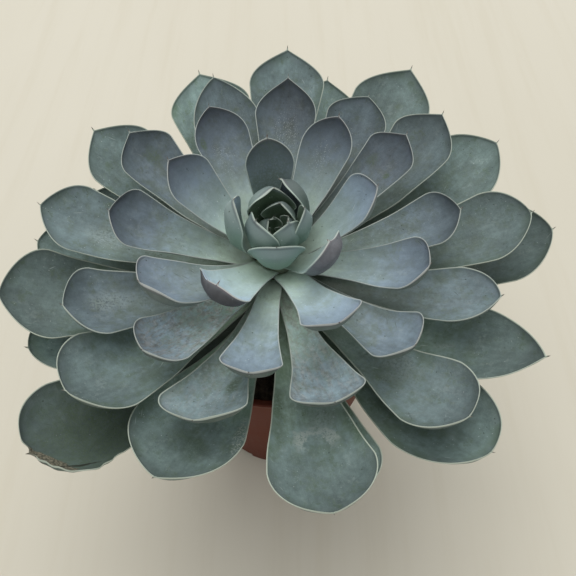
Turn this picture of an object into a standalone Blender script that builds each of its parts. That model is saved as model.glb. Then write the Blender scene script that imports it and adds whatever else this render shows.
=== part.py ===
"""Potted echeveria: a rosette of fleshy spoon leaves on a short stem in a small pot.

Metres, +Z up. The origin is the centre of the pot's underside, and -Y faces the viewer.
The leaves follow one spiral from the heart outward. A leaf's number n sets its direction,
length, width, height and pitch, and LEAF_TWEAKS holds what each real leaf does differently.
"""
import math

import bpy
import numpy as np

MM = 0.001
DEG = math.pi / 180.0

# Pot
POT_HEIGHT = 80 * MM
POT_TOP_RADIUS = 38 * MM
POT_BASE_RADIUS = 26 * MM
POT_WALL = 1.6 * MM
POT_FLOOR = 2.0 * MM
RIM_BEAD = 0.5 * MM
RIM_HEIGHT = 2.4 * MM
POT_SIDES = 64
DRAIN_NOTCHES = 6
NOTCH_WIDTH = 7 * MM
NOTCH_HEIGHT = 3.5 * MM
NOTCH_FIRST = 238 * DEG
NOTCH_REACH = 8 * MM
GAP = 0.3 * MM

# Soil and stem
SOIL_BELOW_RIM = 9 * MM
SOIL_LUMP = 0.8 * MM
SOIL_SIDES = 40
SOIL_RINGS = 5
STEM_FOOT_RADIUS = 8.0 * MM
STEM_DEPTH = 26 * MM
STEM_SIDES = 24
STEM_CLEARANCE = 0.5 * MM

# Spiral of the leaves: leaf 0 points away from the viewer, older leaves have higher numbers
FIRST_AZIMUTH = 97.0 * DEG
DIVERGENCE = 138.05 * DEG
HEART_FIRST = -13
HEART_LAST = -5
LEAF_FIRST = -4
LEAF_LAST = 45
LEAN = 0.08

# Where the leaves sit on the stem, and how high and far their tips are
SEAT_HEIGHT = 100 * MM
SEAT_STEP = 0.41 * MM
INNER_SEAT_STEP = 0.6 * MM
SEAT_RADIUS_TOP = 5.2 * MM
SEAT_RADIUS_MIDDLE = 6.4 * MM
SEAT_RADIUS_FOOT = 8.0 * MM
MIDDLE_LEAF = 8
FIRST_REACH = 19 * MM
REACH_GROWTH = 62 * MM
INNER_REACH_STEP = 2.2 * MM
TIP_HEIGHT = 108 * MM
TIP_HEIGHT_RISE = 18 * MM
INNER_TIP_STEP = 0.8 * MM
SAG_FROM = 28
SAG_STEP = 0.6 * MM

# Pitch and cup of the blade, from the innermost leaf to the outermost
BASE_PITCH = (76.0 * DEG, -8.0 * DEG)
TIP_PITCH = (74.0 * DEG, 42.0 * DEG)
CUP = (0.62, 0.52)

# Young leaves of the heart: size of the outermost one, and what each leaf further in keeps of it
HEART_SHRINK = 0.87
HEART_REACH = 8.2 * MM
HEART_WIDTH = 16.0 * MM
HEART_SEAT_RADIUS = 4.0 * MM
HEART_TIP_HEIGHT = (119.2 * MM, -0.9 * MM)
HEART_SEAT_HEIGHT = (103.5 * MM, 0.2 * MM)
HEART_BASE_PITCH = 60.0 * DEG
HEART_TIP_PITCH = 98.0 * DEG
HEART_CUP = 0.95
HEART_WIDEST = 0.55
HEART_ROUNDING = 1.15
CORE_RADIUS = 4.7 * MM
CORE_HEIGHT = 6.0 * MM
CORE_SIDES = 16

# Leaf blade
LEAF_WIDTH = (14.5 * MM, 28.5 * MM)
BASE_HALF_WIDTH = 3.1 * MM
BASE_SHARE = 0.42
WIDEST = (0.58, 0.79)
TIP_HALF_WIDTH = 0.3 * MM
BASE_HANDLE = 0.36
TIP_HANDLE = (0.20, 0.28)
TIP_ROUNDING = (0.42, 1.1)
YOUNG_ROUNDING = 1.1
YOUNG_UNTIL = 8
STRAIGHT_FLARE = 0.5
FAR_SIDE = (-0.35, 0.85)
EDGE_THICKNESS = 0.7 * MM
BASE_THICKNESS = 1.4 * MM
BODY_THICKNESS = 2.8 * MM
TIP_THICKNESS = 1.2 * MM
THICKEST = 0.35
BASE_CUP = 0.30
ROWS = 9
COLUMNS = 4
HEART_ROWS = 7

# What each real leaf does differently from the rule, by its number in the spiral:
# turn, base, curl and roll in degrees; reach, rise, width, bend and foot in millimetres;
# cup, widest and point take the place of the rule's own values; a flare above 1 is a later one
LEAF_TWEAKS = {
    -12: dict(turn=10, reach=1),
    -10: dict(turn=-6, reach=-2, rise=-2),
    -9: dict(turn=12, reach=1, rise=3, cup=0.7, width=2, widest=0.45, point=1.5),
    -8: dict(reach=-1.5, rise=-0.5, curl=25, width=1),
    -7: dict(turn=6, rise=0.5, cup=0.8, width=2),
    -6: dict(turn=6, reach=0.5, rise=1, cup=0.7, width=-3.5),
    -5: dict(turn=-16, reach=-1.5, rise=-1, bend=-2, curl=35, point=0.7),
    -4: dict(turn=7, reach=0.5, rise=-6.5, base=-14, cup=0.3, width=1, foot=1.8, widest=0.6, point=0.75),
    -3: dict(turn=4, reach=-4, rise=-5.5, bend=6, base=-42, curl=75, cup=0.9, width=-1),
    -2: dict(turn=3, reach=-4, rise=-2, base=-18, curl=35, cup=0.8, width=-2),
    -1: dict(turn=-1, reach=1.3, rise=-4.5, base=-22, curl=85, cup=0.6, widest=0.65, roll=12, point=0.8),
    0: dict(reach=-2, base=-12, width=-0.7, widest=0.72, point=0.65),
    1: dict(turn=5, rise=-5, base=-7, curl=80, roll=-12, cup=0.65, foot=0.8, widest=0.72, point=0.5, reach=2, flare=1.2, width=1),
    2: dict(turn=-5, reach=-2, width=1),
    3: dict(turn=2.5, reach=0.9, width=1, widest=0.7),
    4: dict(turn=4.5, reach=3.5, curl=-10, cup=0.5, foot=0.8, widest=0.85, point=0.4, flare=1.8),
    5: dict(turn=-5.5, reach=2, width=-0.5, widest=0.68, point=0.75),
    6: dict(turn=16.5, reach=1, bend=-6, width=2.5, widest=0.82),
    7: dict(turn=-4.5, reach=2, rise=-1),
    8: dict(turn=-5, reach=4, width=-0.5, widest=0.68, point=0.75),
    9: dict(turn=3, reach=1, cup=0.45, width=-3, widest=0.86, point=0.33, flare=1.35),
    10: dict(turn=-0.5, reach=4, bend=2, width=-1),
    11: dict(reach=-1.3, width=0.5),
    12: dict(turn=-1, reach=1, width=-2, widest=0.83, flare=1.4),
    13: dict(turn=-5, reach=7, rise=1, widest=0.7),
    14: dict(turn=0, reach=-2.8, cup=0.52, width=-3.5),
    15: dict(turn=-1.5, reach=-1.5, width=-2.5),
    16: dict(turn=-1, reach=2.5, bend=-3, width=-1),
    17: dict(turn=2, reach=-4, cup=0.4, width=-3, widest=0.86, point=0.33, flare=1.5),
    18: dict(turn=-1.2, reach=2, width=-1.5, point=0.85),
    19: dict(turn=4, reach=0.5, point=0.6),
    20: dict(turn=2, reach=2, width=-4.5, widest=0.74, point=0.65),
    21: dict(turn=-7.2, reach=4, width=-1, widest=0.66, point=0.85),
    22: dict(turn=-3, reach=-5.5, roll=15, cup=0.45, width=-1.5, widest=0.85, point=0.35, flare=1.5),
    23: dict(turn=5, reach=5, bend=4.5, width=-1.5),
    24: dict(turn=2, reach=2.9, width=-1.5, point=0.75),
    25: dict(turn=2.5, reach=3.5, width=-2.5, flare=1.3),
    26: dict(turn=1.2, reach=8, rise=1),
    27: dict(turn=-1.5, reach=-0.5),
    28: dict(turn=3, reach=3, width=-3),
    29: dict(turn=5, reach=-1, width=-2),
    30: dict(turn=1.7, reach=3, width=-1),
    31: dict(turn=0.5, reach=10),
    32: dict(turn=-1, reach=2, width=1.2, point=0.65),
    33: dict(turn=-1.5, reach=2, rise=0.8, bend=1, base=1, width=-3, widest=0.64, point=0.85),
    34: dict(turn=0.5, reach=-1),
    35: dict(turn=-1.5, reach=-6.5, base=3, width=2, widest=0.7, point=0.55),
    36: dict(turn=2.5, reach=2, width=-2, point=0.8),
    37: dict(turn=10, reach=-7, rise=-6, base=2, width=-3),
    38: dict(turn=8.5, reach=-2, rise=0, base=2, width=0.5, widest=0.7),
    39: dict(turn=-4, reach=-3, rise=-4, base=2),
    40: dict(turn=6, reach=1, base=8, width=2),
    41: dict(turn=8.5, reach=-1, width=-0.3),
    42: dict(turn=18, reach=-17, rise=-8, base=2, width=-6),
    43: dict(turn=10, reach=-14, rise=-1, base=16, width=-1),
    44: dict(reach=-18, rise=-8, base=2),
    45: dict(turn=14, reach=-14, rise=-1, base=15, width=-9),
}


def clamp(value, low=0.0, high=1.0):
    return max(low, min(high, value))


def mix(start, end, share):
    return start + (end - start) * share


def smooth(share):
    share = clamp(share)
    return share * share * (3 - 2 * share)


# Leaf rule: everything about leaf n before its own tweaks

def outer_leaf_rule(n):
    age = clamp((n - LEAF_FIRST) / (LEAF_LAST - LEAF_FIRST))
    grown = clamp((n - LEAF_FIRST) / 34.0)
    outward = max(n, 0)
    if n < 0:
        reach = FIRST_REACH + INNER_REACH_STEP * n
        tip_height = TIP_HEIGHT + TIP_HEIGHT_RISE + INNER_TIP_STEP * n
        base_height = SEAT_HEIGHT - INNER_SEAT_STEP * n
    else:
        reach = FIRST_REACH + REACH_GROWTH * (n / 40.0) ** 0.62
        tip_height = TIP_HEIGHT + TIP_HEIGHT_RISE * math.exp(-n / 9.0) - SAG_STEP * max(n - SAG_FROM, 0)
        base_height = SEAT_HEIGHT - SEAT_STEP * n
    width = mix(*LEAF_WIDTH, clamp((n + 1) / 32.0))
    return dict(
        reach=reach,
        tip_height=tip_height,
        base_radius=seat_radius(n),
        base_height=base_height,
        width=width,
        base_half=mix(0.5 * BASE_SHARE * width, BASE_HALF_WIDTH, clamp(outward / MIDDLE_LEAF)),
        base_pitch=mix(*BASE_PITCH, age ** 0.42),
        tip_pitch=mix(*TIP_PITCH, grown ** 0.8),
        cup=mix(*CUP, clamp((n - 14) / 14.0)),
        tip_handle=mix(*TIP_HANDLE, grown),
        widest=mix(*WIDEST, clamp((n - LEAF_FIRST) / YOUNG_UNTIL)),
        rounding=None,
    )


def seat_radius(n):
    """Where leaf n starts: the stem widens downward from its tip."""
    if n < MIDDLE_LEAF:
        return mix(SEAT_RADIUS_TOP, SEAT_RADIUS_MIDDLE, clamp((n - LEAF_FIRST) / (MIDDLE_LEAF - LEAF_FIRST)))
    return mix(SEAT_RADIUS_MIDDLE, SEAT_RADIUS_FOOT, (n - MIDDLE_LEAF) / (LEAF_LAST - MIDDLE_LEAF))


def heart_leaf_rule(n):
    inward = HEART_LAST - n

    def stepped(first, step):
        return first + step * inward

    size = HEART_SHRINK ** inward
    return dict(
        reach=HEART_REACH * size,
        tip_height=stepped(*HEART_TIP_HEIGHT),
        base_radius=HEART_SEAT_RADIUS * size,
        base_height=stepped(*HEART_SEAT_HEIGHT),
        width=HEART_WIDTH * size,
        base_half=0.5 * BASE_SHARE * HEART_WIDTH * size,
        base_pitch=HEART_BASE_PITCH,
        tip_pitch=HEART_TIP_PITCH,
        cup=HEART_CUP,
        tip_handle=TIP_HANDLE[0],
        widest=HEART_WIDEST,
        rounding=HEART_ROUNDING,
    )


def leaf_shape(n):
    shape = heart_leaf_rule(n) if n <= HEART_LAST else outer_leaf_rule(n)
    tweak = LEAF_TWEAKS.get(n, {})
    shape["azimuth"] = FIRST_AZIMUTH + n * DIVERGENCE + tweak.get("turn", 0) * DEG
    shape["reach"] += tweak.get("reach", 0) * MM
    shape["tip_height"] += tweak.get("rise", 0) * MM
    shape["width"] += tweak.get("width", 0) * MM
    shape["base_pitch"] += tweak.get("base", 0) * DEG
    shape["tip_pitch"] += tweak.get("curl", 0) * DEG
    shape["bend"] = tweak.get("bend", 0) * MM
    shape["roll"] = tweak.get("roll", 0) * DEG
    shape["cup"] = tweak.get("cup", shape["cup"])
    shape["base_half"] += tweak.get("foot", 0) * MM
    shape["widest"] = tweak.get("widest", shape["widest"])
    shape["flare"] = tweak.get("flare", 1.0)
    shape["rounding"] = tweak.get("point", shape["rounding"] or tip_rounding(n, shape["azimuth"]))
    return shape


# Leaf surface: a midrib curve that carries a cupped spoon blade

def tip_rounding(n, azimuth):
    """Young leaves and those on the far side end in a point, and near ones in a wide arc."""
    far = smooth((math.sin(azimuth) - FAR_SIDE[0]) / (FAR_SIDE[1] - FAR_SIDE[0]))
    return mix(YOUNG_ROUNDING, mix(*TIP_ROUNDING, far), clamp((n - LEAF_FIRST) / YOUNG_UNTIL))


def half_width(shape, u):
    """Half of the blade's width at the share u of its length: narrow, then a round or pointed tip."""
    widest_half = 0.5 * shape["width"]
    widest = shape["widest"]
    if u <= widest:
        share = (u / widest) ** shape["flare"]
        flare = mix(smooth(share ** 1.25), share ** 1.3, STRAIGHT_FLARE)
        return mix(shape["base_half"], widest_half, flare)
    past = (u - widest) / (1 - widest)
    return widest_half * max(1 - past * past, 0.0) ** shape["rounding"] + TIP_HALF_WIDTH


def thickness(u, v):
    if u < THICKEST:
        middle = mix(BASE_THICKNESS, BODY_THICKNESS, u / THICKEST)
    else:
        middle = mix(BODY_THICKNESS, TIP_THICKNESS, ((u - THICKEST) / (1 - THICKEST)) ** 1.3)
    return EDGE_THICKNESS + (middle - EDGE_THICKNESS) * (1 - abs(v) ** 2.4)


def midrib(shape, u):
    """Point and unit direction of the midrib, as distance from the axis and height."""
    start = np.array([shape["base_radius"], shape["base_height"]])
    end = np.array([shape["reach"], shape["tip_height"]])
    chord = np.linalg.norm(end - start)
    leaving = np.array([math.cos(shape["base_pitch"]), math.sin(shape["base_pitch"])])
    arriving = np.array([math.cos(shape["tip_pitch"]), math.sin(shape["tip_pitch"])])
    second = start + BASE_HANDLE * chord * leaving
    third = end - shape["tip_handle"] * chord * arriving
    w = 1 - u
    point = w**3 * start + 3 * w * w * u * second + 3 * w * u * u * third + u**3 * end
    slope = 3 * w * w * (second - start) + 6 * w * u * (third - second) + 3 * u * u * (end - third)
    return point, slope / np.linalg.norm(slope)


def leaf_frame(shape, u):
    """Centre, sideways and upward directions of the blade at the share u."""
    outward = np.array([math.cos(shape["azimuth"]), math.sin(shape["azimuth"]), 0.0])
    sideways = np.array([-math.sin(shape["azimuth"]), math.cos(shape["azimuth"]), 0.0])
    up = np.array([0.0, 0.0, 1.0])
    point, slope = midrib(shape, u)
    centre = outward * point[0] + up * point[1] + sideways * shape["bend"] * u * u
    bend_slope = 1.6 * u * shape["bend"] / max(shape["reach"], MM)
    along = outward * slope[0] + up * slope[1] + sideways * bend_slope
    along /= np.linalg.norm(along)
    across = sideways - along * (sideways @ along)
    across /= np.linalg.norm(across)
    normal = np.cross(along, across)
    turn = shape["roll"] * u
    rolled_across = across * math.cos(turn) + normal * math.sin(turn)
    rolled_normal = normal * math.cos(turn) - across * math.sin(turn)
    return centre, rolled_across, rolled_normal


def blade_points(shape, rows, columns):
    """Upper and lower face of the blade, as two grids of points from root to tip."""
    upper, lower = [], []
    for row in range(rows + 1):
        u = math.sin(0.5 * math.pi * row / rows) ** 0.92
        centre, across, normal = leaf_frame(shape, u)
        half = half_width(shape, u)
        cup = mix(BASE_CUP, shape["cup"], smooth(u / 0.75))
        for column in range(columns + 1):
            v = -1 + 2 * column / columns
            sideways = half * math.sin(cup * v) / cup
            lift = half * (1 - math.cos(cup * v)) / cup
            top = centre + across * sideways + normal * lift
            upper.append(top)
            lower.append(top - normal * thickness(u, v))
    points = np.array(upper + lower)
    points[:, 2] += LEAN * points[:, 1]
    return points


def blade_faces(rows, columns):
    """Triangles of a closed blade; both faces are split along the same diagonals."""
    line = columns + 1
    under = (rows + 1) * line
    faces = []
    for row in range(rows):
        for column in range(columns):
            a = row * line + column
            b, c, d = a + 1, a + 1 + line, a + line
            faces += [(a, c, b), (a, d, c)]
            faces += [(under + a, under + b, under + c), (under + a, under + c, under + d)]
    for row in range(rows):
        left, right = row * line, row * line + columns
        faces += [(left, under + left, under + left + line), (left, under + left + line, left + line)]
        faces += [(right, under + right + line, under + right), (right, right + line, under + right + line)]
    for column in range(columns):
        root, tip = column, rows * line + column
        faces += [(root, root + 1, under + root + 1), (root, under + root + 1, under + root)]
        faces += [(tip, under + tip + 1, tip + 1), (tip, under + tip, under + tip + 1)]
    return faces


# Blender objects

def fresh_scene():
    for obj in list(bpy.data.objects):
        bpy.data.objects.remove(obj, do_unlink=True)


def new_collection(name):
    collection = bpy.data.collections.new(name)
    bpy.context.scene.collection.children.link(collection)
    return collection


def make_material(name, colour, roughness):
    material = bpy.data.materials.new(name)
    material.use_nodes = True
    shader = material.node_tree.nodes["Principled BSDF"]
    shader.inputs["Base Color"].default_value = (*colour, 1.0)
    shader.inputs["Roughness"].default_value = roughness
    shader.inputs["Metallic"].default_value = 0.0
    return material


def make_object(name, points, faces, material, collection):
    mesh = bpy.data.meshes.new(name)
    mesh.from_pydata([tuple(p) for p in points], [], faces)
    mesh.materials.append(material)
    obj = bpy.data.objects.new(name, mesh)
    collection.objects.link(obj)
    return obj


def baked_mesh(obj):
    """The object's mesh with its modifiers applied."""
    depsgraph = bpy.context.evaluated_depsgraph_get()
    depsgraph.update()
    return bpy.data.meshes.new_from_object(obj.evaluated_get(depsgraph))


def turned_object(name, profile, sides, material, collection):
    """A closed turned solid; the profile runs from the axis, down the outside, to the axis."""
    points = [(radius, 0.0, height) for radius, height in profile]
    edges = [(i, i + 1) for i in range(len(points) - 1)]
    mesh = bpy.data.meshes.new(name)
    mesh.from_pydata(points, edges, [])
    mesh.materials.append(material)
    obj = bpy.data.objects.new(name, mesh)
    collection.objects.link(obj)
    screw = obj.modifiers.new("Turn", "SCREW")
    screw.steps = sides
    screw.render_steps = sides
    screw.use_merge_vertices = True
    screw.merge_threshold = 0.00001
    screw.use_smooth_shade = True
    return obj


def pot_wall(height):
    """Outer radius of the pot's plain wall at a height."""
    return mix(POT_BASE_RADIUS, POT_TOP_RADIUS, height / POT_HEIGHT)


def build_pot(collection, cutters):
    bead_foot = POT_HEIGHT - RIM_HEIGHT
    lip = 0.4 * MM
    profile = [
        (0.0, POT_FLOOR),
        (pot_wall(POT_FLOOR) - POT_WALL, POT_FLOOR),
        (POT_TOP_RADIUS - POT_WALL, POT_HEIGHT - lip),
        (POT_TOP_RADIUS - POT_WALL + lip, POT_HEIGHT),
        (POT_TOP_RADIUS + RIM_BEAD - lip, POT_HEIGHT),
        (POT_TOP_RADIUS + RIM_BEAD, POT_HEIGHT - lip),
        (pot_wall(bead_foot) + RIM_BEAD, bead_foot + lip),
        (pot_wall(bead_foot), bead_foot),
        (pot_wall(2 * lip), 2 * lip),
        (POT_BASE_RADIUS - lip, 0.0),
        (0.0, 0.0),
    ]
    material = make_material("pot_terracotta_plastic", (0.165, 0.050, 0.032), 0.48)
    pot = turned_object("pot", profile, POT_SIDES, material, collection)
    for index in range(DRAIN_NOTCHES):
        cutter = notch_cutter(index, cutters)
        cut = pot.modifiers.new(f"Notch {index + 1}", "BOOLEAN")
        cut.operation = "DIFFERENCE"
        cut.object = cutter


def notch_cutter(index, cutters):
    angle = NOTCH_FIRST + index * 2 * math.pi / DRAIN_NOTCHES
    bpy.ops.mesh.primitive_cube_add(size=1.0)
    cutter = bpy.context.object
    cutter.name = f"notch_cutter_{index + 1}"
    for owner in list(cutter.users_collection):
        owner.objects.unlink(cutter)
    cutters.objects.link(cutter)
    cutter.location = (POT_BASE_RADIUS * math.cos(angle), POT_BASE_RADIUS * math.sin(angle), 0.0)
    cutter.rotation_euler = (0.0, 0.0, angle)
    cutter.scale = (NOTCH_REACH, NOTCH_WIDTH, 2 * NOTCH_HEIGHT)
    cutter.hide_render = True
    cutter.display_type = "WIRE"
    return cutter


def build_soil(collection):
    """Fills the pot inside its wall, with a hole for the stem's foot and a slightly lumpy top."""
    floor = POT_FLOOR + GAP
    top = POT_HEIGHT - SOIL_BELOW_RIM
    hole = STEM_FOOT_RADIUS + GAP
    hole_floor = top - STEM_DEPTH - GAP
    wall_share = (top - POT_FLOOR) / (POT_HEIGHT - POT_FLOOR)
    inner_foot = pot_wall(POT_FLOOR) - POT_WALL - 1.2 * GAP
    inner_top = POT_TOP_RADIUS - POT_WALL - 1.2 * GAP
    outside = mix(inner_foot, inner_top, wall_share)
    profile = [(0.0, hole_floor), (hole, hole_floor), (hole, top)]
    profile += [(mix(hole, outside, ring / SOIL_RINGS), top) for ring in range(1, SOIL_RINGS + 1)]
    profile += [(inner_foot, floor), (0.0, floor)]
    material = make_material("potting_soil", (0.030, 0.022, 0.017), 0.95)
    turned = turned_object("soil_turned", profile, SOIL_SIDES, material, collection)
    mesh = baked_mesh(turned)
    bpy.data.objects.remove(turned)
    for vertex in mesh.vertices:
        x, y, z = vertex.co
        if z > top - MM and hole + MM < math.hypot(x, y) < outside - MM:
            wave = math.sin(x * 610 + 1.3) * math.cos(y * 540) + 0.6 * math.sin((x + 2 * y) * 890)
            vertex.co.z = z + SOIL_LUMP * wave
    mesh.name = "soil"
    collection.objects.link(bpy.data.objects.new("soil", mesh))


def build_stem(collection):
    soil_top = POT_HEIGHT - SOIL_BELOW_RIM
    foot = STEM_FOOT_RADIUS - STEM_CLEARANCE
    lowest = outer_leaf_rule(LEAF_LAST)["base_height"]
    profile = [(0.0, stem_top())]
    for n in range(LEAF_FIRST, LEAF_LAST + 1, 7):
        profile.append((seat_radius(n) - STEM_CLEARANCE, outer_leaf_rule(n)["base_height"]))
    profile += [(foot, lowest - 2 * MM), (foot - 0.6 * MM, lowest - 5 * MM), (foot, soil_top)]
    profile += [(0.7 * foot, soil_top - STEM_DEPTH + 3 * MM), (0.4 * foot, soil_top - STEM_DEPTH)]
    profile += [(0.0, soil_top - STEM_DEPTH)]
    material = make_material("old_stem", (0.16, 0.12, 0.075), 0.85)
    turned_object("stem", profile, STEM_SIDES, material, collection)


def stem_top():
    return outer_leaf_rule(LEAF_FIRST)["base_height"] + 0.4 * MM


def leaf_colour(n):
    """Pale mint at the heart, blue-grey in the middle rings, darker grey-green outside."""
    inner, middle, outer = (0.33, 0.41, 0.37), (0.27, 0.33, 0.36), (0.19, 0.27, 0.24)
    age = clamp((n - HEART_FIRST) / (LEAF_LAST - HEART_FIRST))
    if age < 0.4:
        return [mix(a, b, age / 0.4) for a, b in zip(inner, middle)]
    return [mix(a, b, (age - 0.4) / 0.6) for a, b in zip(middle, outer)]


def build_leaves(collection):
    faces = blade_faces(ROWS, COLUMNS)
    for n in range(LEAF_FIRST, LEAF_LAST + 1):
        name = f"leaf_{n - LEAF_FIRST + 1:02d}"
        material = make_material(name, leaf_colour(n), 0.55)
        leaf = make_object(name, blade_points(leaf_shape(n), ROWS, COLUMNS), faces, material, collection)
        leaf.data.shade_smooth()


def build_heart(collection):
    """The youngest leaves and the growing tip that they stand on, joined in one solid."""
    material = make_material("heart_leaves", leaf_colour(HEART_FIRST), 0.55)
    young = new_collection("young_leaves")
    faces = blade_faces(HEART_ROWS, COLUMNS)
    for n in range(HEART_FIRST, HEART_LAST + 1):
        points = blade_points(leaf_shape(n), HEART_ROWS, COLUMNS)
        make_object(f"young_leaf_{n}", points, faces, material, young)
    foot = stem_top() + GAP
    profile = [(0.0, foot + CORE_HEIGHT), (0.47 * CORE_RADIUS, foot + 0.83 * CORE_HEIGHT)]
    profile += [(0.9 * CORE_RADIUS, foot + 0.43 * CORE_HEIGHT), (CORE_RADIUS, foot + 0.2 * CORE_HEIGHT)]
    profile += [(0.94 * CORE_RADIUS, foot), (0.0, foot)]
    core = turned_object("heart_core", profile, CORE_SIDES, material, collection)
    union = core.modifiers.new("Young leaves", "BOOLEAN")
    union.operation = "UNION"
    union.operand_type = "COLLECTION"
    union.collection = young
    mesh = baked_mesh(core)
    mesh.name = "heart_leaves"
    for leaf in list(young.objects):
        bpy.data.objects.remove(leaf)
    bpy.data.collections.remove(young)
    bpy.data.objects.remove(core)
    collection.objects.link(bpy.data.objects.new("heart_leaves", mesh))


def main():
    fresh_scene()
    plant = new_collection("potted_echeveria")
    cutters = new_collection("cutters")
    build_pot(plant, cutters)
    build_soil(plant)
    build_stem(plant)
    build_heart(plant)
    build_leaves(plant)


main()
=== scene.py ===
"""Looks of the potted echeveria: fine leaves, heart, stem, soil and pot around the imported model.

Metres, +Z up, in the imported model's frame. The leaves follow the same spiral as the model's:
a leaf's number n sets its shape, and LEAF_TWEAKS holds what each real leaf does differently.
A pair in the leaf rules is for the innermost and the outermost leaf, unless its comment says
otherwise. Colours are linear RGB.
"""
import math

import bpy
import numpy as np
from mathutils import Euler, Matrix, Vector


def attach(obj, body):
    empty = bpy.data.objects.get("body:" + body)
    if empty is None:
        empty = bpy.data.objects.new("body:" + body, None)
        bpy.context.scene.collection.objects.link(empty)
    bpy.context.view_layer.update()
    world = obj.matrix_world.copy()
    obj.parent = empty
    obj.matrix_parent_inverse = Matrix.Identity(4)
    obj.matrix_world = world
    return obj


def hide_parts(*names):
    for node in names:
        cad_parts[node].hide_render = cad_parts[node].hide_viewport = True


MM = 0.001
DEG = math.pi / 180.0

# Spiral of the leaves: leaf 0 points away from the viewer, older leaves have higher numbers
FIRST_AZIMUTH = 97.0 * DEG
DIVERGENCE = 138.05 * DEG
CENTRE_FIRST = -17
HEART_FIRST = -13
HEART_LAST = -5
LEAF_FIRST = -4
LEAF_LAST = 45
YOUNG_UNTIL = 8
GROWN_AFTER = 34
LEAN = 0.08

# Where the leaves sit on the stem, and how high and far their tips are
SEAT_HEIGHT = 100 * MM
SEAT_STEP = 0.41 * MM
INNER_SEAT_STEP = 0.6 * MM
SEAT_RADIUS_TOP = 5.2 * MM
SEAT_RADIUS_MIDDLE = 6.4 * MM
SEAT_RADIUS_FOOT = 8.0 * MM
MIDDLE_LEAF = 8
FIRST_REACH = 19 * MM
REACH_GROWTH = 62 * MM
REACH_LEAF = 40
REACH_POWER = 0.62
INNER_REACH_STEP = 2.2 * MM
TIP_HEIGHT = 108 * MM
TIP_HEIGHT_RISE = 18 * MM
TIP_HEIGHT_LEAVES = 9.0
INNER_TIP_STEP = 0.8 * MM
SAG_FROM = 28
SAG_STEP = 0.6 * MM

# Pitch and cup of the blade
BASE_PITCH = (76.0 * DEG, -8.0 * DEG)
BASE_PITCH_POWER = 0.42
TIP_PITCH = (74.0 * DEG, 42.0 * DEG)
TIP_PITCH_POWER = 0.8
CUP = (0.62, 0.52)
CUP_FROM = 14
CUP_LEAVES = 14

# Young leaves of the heart: size of the outermost one, and what each leaf further in keeps of it;
# the heights are pairs of the outermost leaf's own and the step to the next one inward
HEART_SHRINK = 0.87
HEART_REACH = 8.2 * MM
HEART_WIDTH = 16.0 * MM
HEART_SEAT_RADIUS = 4.0 * MM
HEART_TIP_HEIGHT = (119.2 * MM, -0.9 * MM)
HEART_SEAT_HEIGHT = (103.5 * MM, 0.2 * MM)
HEART_BASE_PITCH = 60.0 * DEG
HEART_TIP_PITCH = 98.0 * DEG
HEART_CUP = 0.95
HEART_WIDEST = 0.55
HEART_ROUNDING = 1.15

# Leaf blade. TIP_ROUNDING is for leaves on the near and on the far side, which the sine of
# their direction tells apart from the first value of FAR_SIDE to the second
LEAF_WIDTH = (14.5 * MM, 28.5 * MM)
WIDTH_FROM = -1
WIDTH_LEAVES = 32
BASE_HALF_WIDTH = 3.1 * MM
BASE_SHARE = 0.42
WIDEST = (0.58, 0.79)
TIP_HALF_WIDTH = 0.3 * MM
BASE_HANDLE = 0.36
TIP_HANDLE = (0.20, 0.28)
TIP_ROUNDING = (0.42, 1.1)
YOUNG_ROUNDING = 1.1
STRAIGHT_FLARE = 0.5
SMOOTH_FLARE_POWER = 1.25
STRAIGHT_FLARE_POWER = 1.3
FAR_SIDE = (-0.35, 0.85)
BEND_LEAN = 1.6
BASE_THICKNESS = 1.4 * MM
BODY_THICKNESS = 2.8 * MM
TIP_THICKNESS = 1.2 * MM
THICKEST = 0.35
TIP_THINNING_POWER = 1.3
FLESH_POWER = 2.4
BASE_CUP = 0.30
CUP_FULL_AT = 0.75

# Grid of a fine leaf: more rows towards the tip, and columns close together at the margins
ROWS = 60
HEART_ROWS = 40
ROW_CROWDING = 0.92
RIM_POINTS = 360
MARGIN_GAPS = (0.0, 0.05, 0.13, 0.26, 0.45, 0.80, 1.40)
MARGIN_SHARES = (0.0, 0.02, 0.05, 0.09, 0.15, 0.25, 0.38)
INNER_COLUMNS = 9

# Fine surface of a leaf
EDGE_RADIUS = 0.15 * MM
THINNING = 3.0 * MM
TIPWARD_FROM = 0.35
TIPWARD_LENGTH = 0.4
LIP_HEIGHT = 0.45 * MM
LIP_WIDTH = 0.9 * MM
LIP_YOUNGEST = 0.25
LIP_LEAVES = 12
GROOVE_DEPTH = 0.22 * MM
GROOVE_WIDTH = 1.3 * MM
RELIEF = 0.17 * MM
RELIEF_PITCH_ALONG = 0.35
RELIEF_PITCH_ACROSS = 0.5
RELIEF_SEED = 0.77
RELIEF_FULL_HALF = 6 * MM
RELIEF_FULL_EDGE = 2 * MM
RIPPLE_WAVES = 5
RIPPLE_TURN = 2.39996
RIPPLE_SEED_TURN = 1.7
RIPPLE_SEED_PHASE = 3.1
RIPPLE_PACE = 0.55
RIPPLE_FADE = 0.6
RIPPLE_PEAK = 2.8
MARGIN_WAVE = 0.30 * MM
MARGIN_WOBBLE = 0.22 * MM
MARGIN_FULL_HALF = 9 * MM
MUCRO_LENGTH = 1.3 * MM
YOUNG_MUCRO = 0.6
MUCRO_STEPS = 4
MUCRO_LIFT = 0.25
MUCRO_END = 0.02
MUCRO_POWER = 0.9
MUCRO_U = 0.02

# Waves of the margin: strength, length, and how the phase changes from leaf to leaf and by side
MARGIN_BEATS = (
    (1.0, 5.3 * MM, 1.9, 1.7),
    (0.6, 2.9 * MM, 0.7, -2.1),
)

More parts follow.
